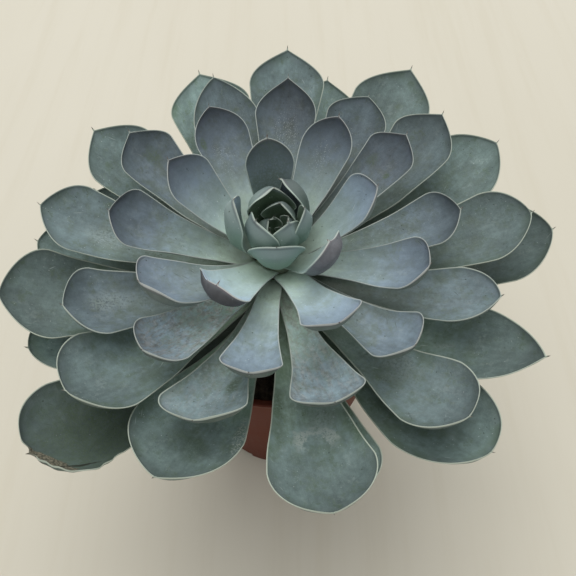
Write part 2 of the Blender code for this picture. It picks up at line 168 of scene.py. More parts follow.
# What each real leaf does differently from the rule, by its number in the spiral:
# turn, base, curl and roll in degrees; reach, rise, width, bend and foot in millimetres;
# cup, widest and point take the place of the rule's own values; a flare above 1 is a later one;
# tone is how much lighter the leaf is drawn, partly a lighter bloom and partly painted light and
# shade for how the leaf faces the light; fade is how fast that painted shade darkens it towards
# the tip; and under is how light its underside is drawn, which is painted light and shade too
LEAF_TWEAKS = {
    -12: dict(turn=10, reach=1),
    -10: dict(turn=-6, reach=-2, rise=-2),
    -9: dict(turn=12, reach=1, rise=3, cup=0.7, width=2, widest=0.45, point=1.5),
    -8: dict(reach=-1.5, rise=-0.5, curl=25, width=1),
    -7: dict(turn=6, rise=0.5, cup=0.8, width=2),
    -6: dict(turn=6, reach=0.5, rise=1, cup=0.7, width=-3.5),
    -5: dict(turn=-16, reach=-1.5, rise=-1, bend=-2, curl=35, point=0.7),
    -4: dict(
        turn=7, reach=0.5, rise=-6.5, base=-14, cup=0.3, width=1, foot=1.8, widest=0.6, point=0.75,
        under=1.1, tone_and_shade=0.15,
    ),
    -3: dict(
        turn=4, reach=-4, rise=-5.5, bend=6, base=-42, curl=75, cup=0.9, width=-1, under=0.5,
        tone_and_shade=-0.5,
    ),
    -2: dict(turn=3, reach=-4, rise=-2, base=-18, curl=35, cup=0.8, width=-2, under=1.2, tone_and_shade=0.4),
    -1: dict(
        turn=-1, reach=1.3, rise=-4.5, base=-22, curl=85, cup=0.6, widest=0.65, roll=12, point=0.8,
        under=1.4, tone_and_shade=0.6,
    ),
    0: dict(reach=-2, base=-12, width=-0.7, widest=0.72, point=0.65, tone_and_shade=-0.15, fade=2.6),
    1: dict(
        turn=5, rise=-5, base=-7, curl=80, roll=-12, cup=0.65, foot=0.8, widest=0.72, point=0.5,
        reach=2, flare=1.2, width=1, under=0.6, tone_and_shade=0.95,
    ),
    2: dict(turn=-5, reach=-2, width=1, tone_and_shade=0.2, fade=0.9),
    3: dict(turn=2.5, reach=0.9, width=1, widest=0.7, tone_and_shade=-0.1, fade=2.6),
    4: dict(
        turn=4.5, reach=3.5, curl=-10, cup=0.5, foot=0.8, widest=0.85, point=0.4, flare=1.8,
        tone_and_shade=0.55, fade=1.5,
    ),
    5: dict(turn=-5.5, reach=2, width=-0.5, widest=0.68, point=0.75, tone_and_shade=-0.3, fade=2.6),
    6: dict(turn=16.5, reach=1, bend=-6, width=2.5, widest=0.82, tone_and_shade=-0.05, fade=0.6),
    7: dict(turn=-4.5, reach=2, rise=-1, tone_and_shade=0.1, fade=1.8),
    8: dict(turn=-5, reach=4, width=-0.5, widest=0.68, point=0.75, tone_and_shade=-0.35, fade=2.6),
    9: dict(
        turn=3, reach=1, cup=0.45, width=-3, widest=0.86, point=0.33, flare=1.35, tone_and_shade=0.35,
        fade=1.3,
    ),
    10: dict(turn=-0.5, reach=4, bend=2, width=-1, tone_and_shade=-0.4, fade=1.3),
    11: dict(reach=-1.3, width=0.5, tone_and_shade=-0.15, fade=2.5),
    12: dict(turn=-1, reach=1, width=-2, widest=0.83, flare=1.4, tone_and_shade=-0.1, fade=0.2),
    13: dict(turn=-5, reach=7, rise=1, widest=0.7, tone_and_shade=-0.5, fade=2),
    14: dict(reach=-2.8, cup=0.52, width=-3.5, tone_and_shade=1.05, fade=2.6),
    15: dict(turn=-1.5, reach=-1.5, width=-2.5, tone_and_shade=-0.2, fade=1.7),
    16: dict(turn=-1, reach=2.5, bend=-3, width=-1, tone_and_shade=-0.4, fade=0.8),
    17: dict(
        turn=2, reach=-4, cup=0.4, width=-3, widest=0.86, point=0.33, flare=1.5, tone_and_shade=0.75,
        fade=1.4,
    ),
    18: dict(turn=-1.2, reach=2, width=-1.5, point=0.85, tone_and_shade=-0.45, fade=-0.7),
    19: dict(turn=4, reach=0.5, point=0.6, tone_and_shade=-0.3),
    20: dict(turn=2, reach=2, width=-4.5, widest=0.74, point=0.65, tone_and_shade=-0.15, fade=-0.3),
    21: dict(turn=-7.2, reach=4, width=-1, widest=0.66, point=0.85, tone_and_shade=-0.15, fade=0.1),
    22: dict(
        turn=-3, reach=-5.5, roll=15, cup=0.45, width=-1.5, widest=0.85, point=0.35, flare=1.5,
        tone_and_shade=0.5, fade=0.8,
    ),
    23: dict(turn=5, reach=5, bend=4.5, width=-1.5, tone_and_shade=-0.1, fade=1.2),
    24: dict(turn=2, reach=2.9, width=-1.5, point=0.75, tone_and_shade=0.15, fade=0.8),
    25: dict(turn=2.5, reach=3.5, width=-2.5, flare=1.3, tone_and_shade=0.25, fade=1.8),
    26: dict(turn=1.2, reach=8, rise=1, tone_and_shade=-0.1, fade=-0.8),
    27: dict(turn=-1.5, reach=-0.5, tone_and_shade=0.45, fade=2),
    28: dict(turn=3, reach=3, width=-3, tone_and_shade=-0.15, fade=0.3),
    29: dict(turn=5, reach=-1, width=-2, tone_and_shade=0.15, fade=-0.2),
    30: dict(turn=1.7, reach=3, width=-1, tone_and_shade=0.35, fade=1.9),
    31: dict(turn=0.5, reach=10),
    32: dict(turn=-1, reach=2, width=1.2, point=0.65, tone_and_shade=0.1, fade=1.3),
    33: dict(
        turn=-1.5, reach=2, rise=0.8, bend=1, base=1, width=-3, widest=0.64, point=0.85, tone_and_shade=0.35,
        fade=2.1,
    ),
    34: dict(turn=0.5, reach=-1, tone_and_shade=0.65, fade=-0.8),
    35: dict(turn=-1.5, reach=-6.5, base=3, width=2, widest=0.7, point=0.55, fade=2.6, tone_and_shade=0.85),
    36: dict(turn=2.5, reach=2, width=-2, point=0.8, tone_and_shade=0.1, fade=-0.7),
    37: dict(turn=10, reach=-7, rise=-6, base=2, width=-3, tone_and_shade=0.5),
    38: dict(turn=8.5, reach=-2, base=2, width=0.5, widest=0.7, tone_and_shade=0.25, fade=0.5),
    39: dict(turn=-4, reach=-3, rise=-4, base=2, tone_and_shade=0.6),
    40: dict(turn=6, reach=1, base=8, width=2, tone_and_shade=-0.4, fade=0.3),
    41: dict(turn=8.5, reach=-1, width=-0.3, tone_and_shade=-0.2, fade=0.4),
    42: dict(turn=18, reach=-17, rise=-8, base=2, width=-6),
    43: dict(turn=10, reach=-14, rise=-1, base=16, width=-1, tone_and_shade=0.75),
    44: dict(reach=-18, rise=-8, base=2),
    45: dict(turn=14, reach=-14, rise=-1, base=15, width=-9, tone_and_shade=0.85),
}

# Tweaks that add to a value of the rule: the value, and the tweak's unit
ADDED_TWEAKS = dict(
    turn=("azimuth", DEG), reach=("reach", MM), rise=("tip_height", MM), width=("width", MM),
    foot=("base_half", MM), base=("base_pitch", DEG), curl=("tip_pitch", DEG),
    bend=("bend", MM), roll=("roll", DEG),
)

# Over which part of a leaf's length its painted light and shade fades, and where it has the leaf's
# own tone
FADE_SPAN = (0.30, 0.95)
FADE_MIDDLE = 0.6

# How scurfy and brownish some leaves are, from 0 to 1
WORN_LEAVES = {6: 0.15, 10: 0.25, 12: 0.15, 14: 1.0, 17: 0.7, 20: 0.2, 22: 0.35, 25: 0.15}

# Scars by leaf: kind, place along and across the blade and half sizes in centimetres,
# turn in degrees, strength
SCARS = {
    0: [("green", 2.2, 0.0, 1.7, 1.0, 0, 0.45)],
    5: [("specks", 2.5, 0.1, 0.6, 0.35, 0, 0.5)],
    8: [("specks", 2.7, 0.2, 0.7, 0.4, 0, 0.5), ("green", 3.4, 0.6, 0.25, 0.14, 0, 0.8)],
    10: [("green", 3.4, -0.3, 0.16, 0.12, 0, 0.9), ("green", 3.5, 0.4, 0.3, 0.2, 0, 0.5)],
    13: [("specks", 3.7, 0.0, 0.9, 0.45, 0, 0.6)],
    16: [("green", 4.4, -0.2, 0.45, 0.3, 0, 0.6)],
    19: [("pale", 4.2, -0.2, 0.8, 0.4, 0, 0.4)],
    22: [("green", 3.7, 0.35, 0.55, 0.28, 0, 0.75)],
    24: [("pale", 4.4, 0.1, 0.8, 0.45, 0, 0.4)],
    25: [("pale", 4.0, 0.3, 0.9, 0.55, 0, 0.5), ("green", 3.0, -0.9, 0.7, 0.25, 20, 0.6)],
    27: [("green", 5.8, 0.9, 0.9, 0.18, -50, 0.6)],
    30: [
        ("arc", 4.85, 0.05, 0.55, 0.55, 0, 0.8),
        ("green", 3.6, -0.7, 0.8, 0.22, -8, 0.6),
        ("green", 4.6, 1.05, 0.7, 0.2, 15, 0.55),
        ("pale", 4.3, 0.3, 0.7, 0.5, 0, 0.4),
    ],
    33: [("pale", 4.6, -0.1, 0.35, 0.12, 25, 0.6), ("green", 4.4, 0.9, 0.9, 0.3, 0, 0.6)],
    35: [("crackle", 4.65, 1.3, 0.8, 0.22, 12, 0.8), ("green", 5.2, 0.3, 0.7, 0.4, 30, 0.5)],
    38: [("green", 5.0, 0.0, 1.6, 1.0, 0, 0.5)],
    40: [
        ("green", 5.6, 0.4, 2.6, 2.2, 0, 0.65),
        ("dry", 7.45, 0.45, 0.85, 0.17, 118, 0.85),
        ("crack", 6.95, 0.95, 0.55, 0.045, 151, 0.9),
    ],
}

# Torn ends by leaf: where the tear starts along the blade and across it, and how deep its bites are
TORN = {40: (56 * MM, -4 * MM, 1.7 * MM)}
TEAR_REACH = 3.2 * MM
TEAR_AIM = 0.7
TEAR_OPENING_ALONG = 6 * MM
TEAR_OPENING_ACROSS = 3 * MM
TEAR_EVEN = 0.35
COARSE_JAG = (0.9 * MM, 1.7 * MM)
FINE_JAG = (2.3 * MM, 1.1 * MM)

# Leaf data: the edge distance in millimetres that counts as 1, and how far apart leaves and the
# two faces of a leaf lie in the patterns
EDGE_RANGE = 5.0
LEAF_APART = 3.7
FACES_APART = 41.0
MM_PER_CM = 10

# Leaf noises: scale per centimetre, detail, roughness
CLOUD_NOISE = (0.75, 3.0, 0.5)
PATCHY_NOISE = (2.7, 7.0, 0.66)
FINE_NOISE = (8.0, 6.0, 0.66)
GRAIN_NOISE = (30.0, 3.0, 0.6)
STREAK_NOISE = (3.0, 5.0, 0.6)
WORN_NOISE = (1.9, 5.0, 0.7)
POWDER_NOISE = (2.3, 5.0, 0.65)
SPECK_NOISE = (1.3, 2.0)
SCURF_NOISE = (5.0, 6.0, 0.7)
RIM_NOISE = (7.0, 3.0)
RAGGED_NOISE = (4.0, 6.0, 0.7)
CRUMB_NOISE = (16.0, 4.0, 0.7)
STREAK_STRETCH = (0.35, 2.6, 1.0)
SCURF_STRETCH = (0.6, 1.6, 1.0)

# Ages between which a leaf's looks change, with 0 for the heart and 1 for the oldest leaf
AGEING = (0.30, 0.80)
WEATHERING = (0.20, 0.50)
GREEN_HEART_AGE = (0.165, 0.145)
PURPLE_UNDER_AGE = (0.248, 0.256)
HEART_UNDER_AGE = (0.205, 0.190)
OLD_UNDER_AGE = (0.22, 0.42)
YOUNG_RIM_AGE = (0.17, 0.26)

# Leaf colours, each on young and on old leaves
FOOT_BLOOM = ((0.262, 0.340, 0.298), (0.124, 0.181, 0.132))
MIDDLE_BLOOM = ((0.206, 0.268, 0.270), (0.134, 0.191, 0.157))
TIP_BLOOM = ((0.214, 0.283, 0.345), (0.134, 0.189, 0.179))
PALE_FOOT = ((0.330, 0.390, 0.300), (0.150, 0.190, 0.115))
# Green-grey band inside the tip's margin: partly its own colour, partly painted shade of the hollow
# inside the lip
HOLLOW_TINT_AND_SHADE = ((0.165, 0.195, 0.205), (0.112, 0.148, 0.118))
# Painted highlight: the bluer, lighter sheen on the lip of the tip's margin
LIP_HIGHLIGHT = ((0.270, 0.335, 0.440), (0.165, 0.215, 0.215))
WORN = ((0.125, 0.165, 0.115), (0.078, 0.118, 0.068))
POWDER = ((0.340, 0.410, 0.430), (0.230, 0.290, 0.275))

# Leaf colours at the two ends of a distance, an age or a noise
# Faces of the heart's leaves: their own green, with painted shade making them darker away from the
# rim
HEART_FACE_AND_SHADE = ((0.150, 0.225, 0.155), (0.070, 0.118, 0.068))
HEART_UNDER = ((0.205, 0.300, 0.240), (0.225, 0.290, 0.278))
YOUNG_RIM = ((0.480, 0.580, 0.500), (0.470, 0.520, 0.490))
# Grey-purple undersides of the youngest outer leaves: partly their own colour, partly painted shade
# for facing down
PURPLE_UNDER_AND_SHADE = ((0.096, 0.097, 0.106), (0.145, 0.150, 0.162))
YOUNG_UNDER = ((0.140, 0.175, 0.155), (0.185, 0.225, 0.215))
OLD_UNDER = ((0.100, 0.140, 0.108), (0.150, 0.182, 0.165))
SCURF = ((0.098, 0.092, 0.070), (0.245, 0.235, 0.225))

# Leaf colours that are the same at every age
PALE_GRAIN = (0.34, 0.40, 0.39)
OLD_GREEN = (0.080, 0.125, 0.072)
SPECK = (0.50, 0.56, 0.56)
# Painted shade: the dark line in the crease where the tip's margin curls up
CREASE_SHADE = (0.085, 0.105, 0.110)
OLD_RIM = (0.520, 0.580, 0.480)
BLUSH = (0.34, 0.23, 0.26)
MUCRO = (0.110, 0.072, 0.055)

# Short marks that lie one way: turn in radians, stretch, cells per centimetre, distance in a cell
# where a mark ends and where it is full, noise of the places that have them and the values
# between which they start, strength, colour
NICKS = (
    0.3, (1.0, 1.7, 1.0), 3.6, (0.12, 0.05),
    (1.7, 2.0), (0.50, 0.56), 0.75, (0.035, 0.052, 0.034),
)
SCRATCHES = (
    0.7, (0.55, 7.0, 1.0), 1.5, (0.12, 0.03),
    (1.1, 2.0), (0.48, 0.56), 0.65, (0.055, 0.080, 0.062),
)
PALE_SCRATCHES = (
    -0.5, (0.5, 8.0, 1.0), 1.3, (0.12, 0.03),
    (0.9, 2.0), (0.52, 0.58), 0.60, (0.46, 0.53, 0.51),
)

# Scars: the kinds that cut through a leaf's rim too, where each kind ends and is full (1 is its
# border), the crumb noise that breaks it up, and its colour
OPEN_SCARS = ("dry", "crack")
SCAR_BORDERS = dict(
    green=(1.1, 0.3), pale=(1.1, 0.3), crackle=(1.1, 0.6), specks=(1.2, 0.4),
    dry=(1.1, 0.8), crack=(1.2, 0.7),
)
SCAR_CRUMBS = dict(green=(0.33, 0.58), pale=(0.33, 0.58), crackle=(0.50, 0.60), arc=(0.32, 0.55))
SCAR_COLOURS = dict(
    arc=(0.450, 0.520, 0.490),
    specks=(0.480, 0.540, 0.560),
    crackle=(0.500, 0.540, 0.490),
    green=(0.070, 0.108, 0.058),
    pale=(0.350, 0.430, 0.420),
    crack=(0.018, 0.020, 0.012),
)
DRY_CRUMBS = (0.40, 0.60)
DRY_COLOURS = ((0.045, 0.040, 0.024), (0.230, 0.205, 0.145))

# Pot, soil, stem and floor: the dark and light of a noise, and what lies on them
POT_PLASTIC = ((0.082, 0.013, 0.004), (0.110, 0.020, 0.007))
POT_DUST = (0.20, 0.10, 0.07)
SOIL_CRUMB = ((0.030, 0.022, 0.016), (0.150, 0.110, 0.078))
SOIL_CLOD = (0.090, 0.062, 0.042)
BARK = ((0.075, 0.052, 0.032), (0.230, 0.185, 0.125))
BARK_BAND = (0.10, 0.085, 0.05)
GREEN_STEM = ((0.20, 0.26, 0.17), (0.30, 0.37, 0.27))
GREEN_STEM_FROM = (0.092, 0.099)
FLOOR_DRIFT = ((0.605, 0.567, 0.460), (0.670, 0.635, 0.538))
FLOOR_GRAIN = (0.560, 0.510, 0.390)
FLOOR_SIZE = 6.0

# Lights: name, place, what it aims at, width and depth, watts, colour
LIGHTS = (
    ("window", (0.05, 1.9, 2.6), (0.0, 0.0, 0.08), (2.6, 2.2), 42.0, (1.0, 0.995, 0.98)),
    ("ceiling", (-0.6, 0.45, 2.9), (0.0, 0.0, 0.0), (2.4, 2.4), 28.0, (1.0, 0.98, 0.95)),
)
SKY_COLOUR = (0.96, 0.975, 0.985, 1.0)
SKY_STRENGTH = 0.59

# Camera: fitted to the pot's rim and foot and the table's grain
CAMERA_PLACE = (0.0033, -0.1073, 0.234)
CAMERA_TILT = 35.3 * DEG
CAMERA_LENS = 37.5
CAMERA_SENSOR = 36.0
CAMERA_NEAREST = 0.01


def clamp(value, low=0.0, high=1.0):
    return max(low, min(high, value))


def mix(start, end, share):
    return start + (end - start) * share


def smooth(share):
    share = np.clip(share, 0.0, 1.0)
    return share * share * (3 - 2 * share)


def progress(n, first, count):
    """How far leaf n is, from 0 to 1, on a change that takes a count of leaves from a first one."""
    return clamp((n - first) / count)


# Leaf rule: everything about leaf n before its own tweaks

def outer_leaf_rule(n):
    age = progress(n, LEAF_FIRST, LEAF_LAST - LEAF_FIRST)
    grown = progress(n, LEAF_FIRST, GROWN_AFTER)
    if n < 0:
        reach = FIRST_REACH + INNER_REACH_STEP * n
        tip_height = TIP_HEIGHT + TIP_HEIGHT_RISE + INNER_TIP_STEP * n
        base_height = SEAT_HEIGHT - INNER_SEAT_STEP * n
    else:
        sag = SAG_STEP * max(n - SAG_FROM, 0)
        reach = FIRST_REACH + REACH_GROWTH * (n / REACH_LEAF) ** REACH_POWER
        tip_height = TIP_HEIGHT + TIP_HEIGHT_RISE * math.exp(-n / TIP_HEIGHT_LEAVES) - sag
        base_height = SEAT_HEIGHT - SEAT_STEP * n
    width = mix(*LEAF_WIDTH, progress(n, WIDTH_FROM, WIDTH_LEAVES))
    return dict(
        reach=reach,
        tip_height=tip_height,
        base_radius=seat_radius(n),
        base_height=base_height,
        width=width,
        base_half=mix(0.5 * BASE_SHARE * width, BASE_HALF_WIDTH, progress(n, 0, MIDDLE_LEAF)),
        base_pitch=mix(*BASE_PITCH, age ** BASE_PITCH_POWER),
        tip_pitch=mix(*TIP_PITCH, grown ** TIP_PITCH_POWER),
        cup=mix(*CUP, progress(n, CUP_FROM, CUP_LEAVES)),
        tip_handle=mix(*TIP_HANDLE, grown),
        widest=mix(*WIDEST, progress(n, LEAF_FIRST, YOUNG_UNTIL)),
        rounding=None,
    )


def seat_radius(n):
    """Where leaf n starts: the stem widens downward from its tip."""
    if n < MIDDLE_LEAF:
        share = progress(n, LEAF_FIRST, MIDDLE_LEAF - LEAF_FIRST)
        return mix(SEAT_RADIUS_TOP, SEAT_RADIUS_MIDDLE, share)
    share = progress(n, MIDDLE_LEAF, LEAF_LAST - MIDDLE_LEAF)
    return mix(SEAT_RADIUS_MIDDLE, SEAT_RADIUS_FOOT, share)


def heart_leaf_rule(n):
    inward = HEART_LAST - n

    def stepped(first, step):
        return first + step * inward

    size = HEART_SHRINK ** inward
    return dict(
        reach=HEART_REACH * size,
        tip_height=stepped(*HEART_TIP_HEIGHT),
        base_radius=HEART_SEAT_RADIUS * size,
        base_height=stepped(*HEART_SEAT_HEIGHT),
        width=HEART_WIDTH * size,
        base_half=0.5 * BASE_SHARE * HEART_WIDTH * size,
        base_pitch=HEART_BASE_PITCH,
        tip_pitch=HEART_TIP_PITCH,
        cup=HEART_CUP,
        tip_handle=TIP_HANDLE[0],
        widest=HEART_WIDEST,
        rounding=HEART_ROUNDING,
    )


def leaf_shape(n):
    shape = heart_leaf_rule(n) if n <= HEART_LAST else outer_leaf_rule(n)
    shape.update(azimuth=FIRST_AZIMUTH + n * DIVERGENCE, bend=0.0, roll=0.0)
    tweak = LEAF_TWEAKS.get(n, {})
    for name, (value, size) in ADDED_TWEAKS.items():
        shape[value] += tweak.get(name, 0) * size
    shape["cup"] = tweak.get("cup", shape["cup"])
    shape["widest"] = tweak.get("widest", shape["widest"])
    shape["flare"] = tweak.get("flare", 1.0)
    rounding = shape["rounding"] or tip_rounding(n, shape["azimuth"])
    shape["rounding"] = tweak.get("point", rounding)
    return shape


# Leaf surface: a midrib curve that carries a cupped spoon blade

def tip_rounding(n, azimuth):
    """Young leaves and those on the far side end in a point, and near ones in a wide arc."""
    far = smooth((math.sin(azimuth) - FAR_SIDE[0]) / (FAR_SIDE[1] - FAR_SIDE[0]))
    return mix(YOUNG_ROUNDING, mix(*TIP_ROUNDING, far), progress(n, LEAF_FIRST, YOUNG_UNTIL))


def half_width(shape, u):
    """Half of the blade's width at the shares u of its length: narrow, then a round tip."""
    widest_half = 0.5 * shape["width"]
    widest = shape["widest"]
    share = np.clip(u / widest, 0.0, 1.0) ** shape["flare"]
    flare = mix(smooth(share ** SMOOTH_FLARE_POWER), share ** STRAIGHT_FLARE_POWER, STRAIGHT_FLARE)
    rising = mix(shape["base_half"], widest_half, flare)
    past = np.clip((u - widest) / (1 - widest), 0.0, 1.0)
    closing = widest_half * (1 - past * past) ** shape["rounding"]
    return np.where(u <= widest, rising, np.maximum(closing, TIP_HALF_WIDTH))


def body_thickness(u, v):
    """Thickness that the blade's flesh adds to its thin rim."""
    before = mix(BASE_THICKNESS, BODY_THICKNESS, u / THICKEST)
    past = np.clip((u - THICKEST) / (1 - THICKEST), 0.0, 1.0)
    after = mix(BODY_THICKNESS, TIP_THICKNESS, past ** TIP_THINNING_POWER)
    middle = np.where(u < THICKEST, before, after)
    return (middle - 2 * EDGE_RADIUS) * (1 - np.abs(v) ** FLESH_POWER)


def midrib(shape, u):
    """Points and unit directions of the midrib, as distance from the axis and height."""
    start = np.array([shape["base_radius"], shape["base_height"]])
    end = np.array([shape["reach"], shape["tip_height"]])
    chord = np.linalg.norm(end - start)
    leaving = np.array([math.cos(shape["base_pitch"]), math.sin(shape["base_pitch"])])
    arriving = np.array([math.cos(shape["tip_pitch"]), math.sin(shape["tip_pitch"])])
    second = start + BASE_HANDLE * chord * leaving
    third = end - shape["tip_handle"] * chord * arriving
    u = u[:, None]
    w = 1 - u
    point = w**3 * start + 3 * w * w * u * second + 3 * w * u * u * third + u**3 * end
    slope = 3 * w * w * (second - start) + 6 * w * u * (third - second) + 3 * u * u * (end - third)
    return point, slope / np.linalg.norm(slope, axis=1)[:, None]


def unit(vectors):
    return vectors / np.linalg.norm(vectors, axis=-1, keepdims=True)


def leaf_frame(shape, u):
    """Centres, along, sideways and upward directions of the blade at the shares u."""
    outward = np.array([math.cos(shape["azimuth"]), math.sin(shape["azimuth"]), 0.0])
    sideways = np.array([-math.sin(shape["azimuth"]), math.cos(shape["azimuth"]), 0.0])
    up = np.array([0.0, 0.0, 1.0])
    point, slope = midrib(shape, u)
    bend = (shape["bend"] * u * u)[:, None]
    centre = outward * point[:, :1] + up * point[:, 1:] + sideways * bend
    bend_slope = (BEND_LEAN * u * shape["bend"] / max(shape["reach"], MM))[:, None]
    along = unit(outward * slope[:, :1] + up * slope[:, 1:] + sideways * bend_slope)
    across = unit(sideways - along * (along @ sideways)[:, None])
    normal = np.cross(along, across)
    turn = (shape["roll"] * u)[:, None]
    rolled_across = across * np.cos(turn) + normal * np.sin(turn)
    rolled_normal = normal * np.cos(turn) - across * np.sin(turn)
    return centre, along, rolled_across, rolled_normal


def ripple(x, y, seed):
    """Soft uneven relief between -1 and 1, from a few crossed waves."""
    total = np.zeros(np.broadcast(x, y).shape)
    for k in range(RIPPLE_WAVES):
        angle = seed * RIPPLE_SEED_TURN + k * RIPPLE_TURN
        pace = 1.0 + RIPPLE_PACE * k
        crossing = pace * (x * math.cos(angle) + y * math.sin(angle))
        total = total + np.sin(crossing + seed * (RIPPLE_SEED_PHASE + k)) / (1 + RIPPLE_FADE * k)
    return total / RIPPLE_PEAK


def edge_distance(along, across, rim):
    """Distance from each blade point to the nearest stretch of the rim, on the blade laid flat."""
    start, step = rim[:-1], np.diff(rim, axis=0)
    point = np.stack([along, np.abs(across)], axis=-1)[..., None, :]
    share = np.clip(((point - start) * step).sum(-1) / (step ** 2).sum(-1), 0.0, 1.0)
    return np.linalg.norm(point - start - step * share[..., None], axis=-1).min(-1)


def column_shares(half):
    """Places across the blade from -1 to 1 in each row, close together at the margins."""
    gaps = np.minimum(np.array(MARGIN_GAPS) * MM / half[:, None], MARGIN_SHARES)
    outer = 1 - gaps
    inner = outer[:, -1:] * (1 - np.arange(1, INNER_COLUMNS + 1) / INNER_COLUMNS)
    positive = np.concatenate([outer, inner], axis=1)
    return np.concatenate([-positive, positive[:, -2::-1]], axis=1)


def row_shares(rows):
    return np.sin(0.5 * math.pi * np.arange(rows + 1) / rows) ** ROW_CROWDING


def fine_leaf(n, rows=ROWS):
    """Points, faces and surface data of a closed leaf with a thin round rim and a pointed tip."""
    shape = leaf_shape(n)
    u = row_shares(rows)
    centre, along, across, normal = leaf_frame(shape, u)
    length = np.concatenate([[0], np.cumsum(np.linalg.norm(np.diff(centre, axis=0), axis=1))])
    half = half_width(shape, u)
    cup = mix(BASE_CUP, shape["cup"], smooth(u / CUP_FULL_AT))[:, None]
    v = column_shares(half)
    uu = u[:, None] + 0 * v
    s_along = length[:, None] + 0 * v
    s_across = half[:, None] * v

    rim_share = row_shares(RIM_POINTS)
    rim = np.stack([np.interp(rim_share, u, length), half_width(shape, rim_share)], axis=1)
    edge = edge_distance(s_along, s_across, rim)

    within = np.minimum(edge, EDGE_RADIUS)
    rounding = np.sqrt(np.maximum(EDGE_RADIUS ** 2 - (EDGE_RADIUS - within) ** 2, 0.0))
    flesh = body_thickness(uu, v) * smooth(edge / THINNING)
    tipward = smooth((uu - TIPWARD_FROM) / TIPWARD_LENGTH)
    beat = margin_beat(n, s_along, v)
    relief = blade_relief(n, half, s_along, s_across, edge, tipward)
    wavy = smooth(half[:, None] / MARGIN_FULL_HALF)
    relief = relief + MARGIN_WAVE * np.abs(v) ** 3 * beat * wavy

    side = half[:, None] * np.sin(cup * v) / cup
    lift = half[:, None] * (1 - np.cos(cup * v)) / cup
    wobble = MARGIN_WOBBLE * np.abs(v) ** 2 * np.sign(v) * np.roll(beat, 1, axis=0) * tipward
    side = side + wobble
    upright, sideward = np.cos(cup * v)[..., None], np.sin(cup * v)[..., None]
    facing = normal[:, None] * upright - across[:, None] * sideward
    face = centre[:, None] + across[:, None] * side[..., None] + normal[:, None] * lift[..., None]
    if n in TORN:
        face = torn(face, edge, s_along, s_across, *TORN[n])
    top = face + facing * (relief - EDGE_RADIUS + rounding)[..., None]
    under = face + facing * (relief - EDGE_RADIUS - rounding - flesh)[..., None]

    on_rim = np.where(np.abs(v) > 1 - 1e-6, 0.5, 1.0)
    data = dict(
        u=round_trip(uu, uu),
        edge=round_trip(edge, edge) / MM,
        upper=round_trip(on_rim, np.zeros_like(v)),
        along=round_trip(s_along, s_along) / MM,
        across=round_trip(s_across, s_across) / MM,
    )
    loops, data = add_mucro(round_trip(top, under), data, along[-1], normal[-1], n)
    points = loops.reshape(-1, 3)
    faces = tube_faces(*loops.shape[:2])
    points[:, 2] += LEAN * points[:, 1]
    data = {name: values.reshape(-1) for name, values in data.items()}
    data["number"] = np.full(len(points), float(n))
    data["age"] = np.full(len(points), progress(n, HEART_FIRST, LEAF_LAST - HEART_FIRST))
    data["tone_and_shade"] = leaf_tones_and_shade(n, data)
    return points, faces, data


def round_trip(upper_values, under_values):
    """The upper face from one margin to the other, and back along the underside."""
    return np.concatenate([upper_values, under_values[:, -2:0:-1]], axis=1)


def blade_relief(n, half, s_along, s_across, edge, tipward):
    """Low uneven relief, a groove along the midrib and a raised lip round the tip."""
    fading = smooth(half[:, None] / RELIEF_FULL_HALF) * smooth(edge / RELIEF_FULL_EDGE)
    x, y = s_along / MM * RELIEF_PITCH_ALONG, s_across / MM * RELIEF_PITCH_ACROSS
    relief = RELIEF * ripple(x, y, n * RELIEF_SEED) * fading
    relief = relief - GROOVE_DEPTH * np.exp(-(s_across / GROOVE_WIDTH) ** 2) * fading
    lip = LIP_HEIGHT * np.exp(-edge / LIP_WIDTH) * tipward
    return relief + lip * clamp(LIP_YOUNGEST + n / LIP_LEAVES, LIP_YOUNGEST, 1.0)


def margin_beat(n, s_along, v):
    """Waves that run along the margin, apart on its two sides."""
    return sum(
        strength * np.sin(s_along / wavelength + n * leaf_phase + side_phase * np.sign(v))
        for strength, wavelength, leaf_phase, side_phase in MARGIN_BEATS
    )


def torn(face, edge, s_along, s_across, start, side, depth):
    """Bites the margin inward unevenly from a place along the blade on, on one side of it."""
    opening = smooth((s_along - start) / TEAR_OPENING_ALONG)
    opening = opening * smooth((s_across - side) / TEAR_OPENING_ACROSS)
    coarse = np.sin(s_across / COARSE_JAG[0] + s_along / COARSE_JAG[1])
    fine = np.sin(s_across / FINE_JAG[0] - s_along / FINE_JAG[1])
    jagged = 0.5 + 0.5 * coarse * fine
    pull = depth * opening * mix(TEAR_EVEN, 1.0, jagged) * np.exp(-edge / TEAR_REACH)
    middle = face[int(TEAR_AIM * len(face)), face.shape[1] // 2]
    inward = middle - face
    distance = np.linalg.norm(inward, axis=-1)
    return face + inward * (pull / np.maximum(distance, TEAR_REACH))[..., None]


def add_mucro(loops, data, along, normal, n):
    """Adds rows that draw the blade's end out to a small point."""
    last = loops[-1]
    middle = last.mean(0)
    aim = unit(along + MUCRO_LIFT * normal)
    length = MUCRO_LENGTH * (YOUNG_MUCRO if n < 0 else 1.0)
    shares = np.arange(1, MUCRO_STEPS + 1) / MUCRO_STEPS
    sizes = np.maximum(1 - shares, MUCRO_END) ** MUCRO_POWER
    extra = [
        middle + (last - middle) * size + aim * length * share
        for share, size in zip(shares, sizes)
    ]
    loops = np.concatenate([loops, np.stack(extra)], axis=0)
    grown = {}
    for name, values in data.items():
        added = np.repeat(values[-1:], MUCRO_STEPS, axis=0)
        if name == "u":
            added = added + MUCRO_U * shares[:, None]
        grown[name] = np.concatenate([values, added], axis=0)
    return loops, grown


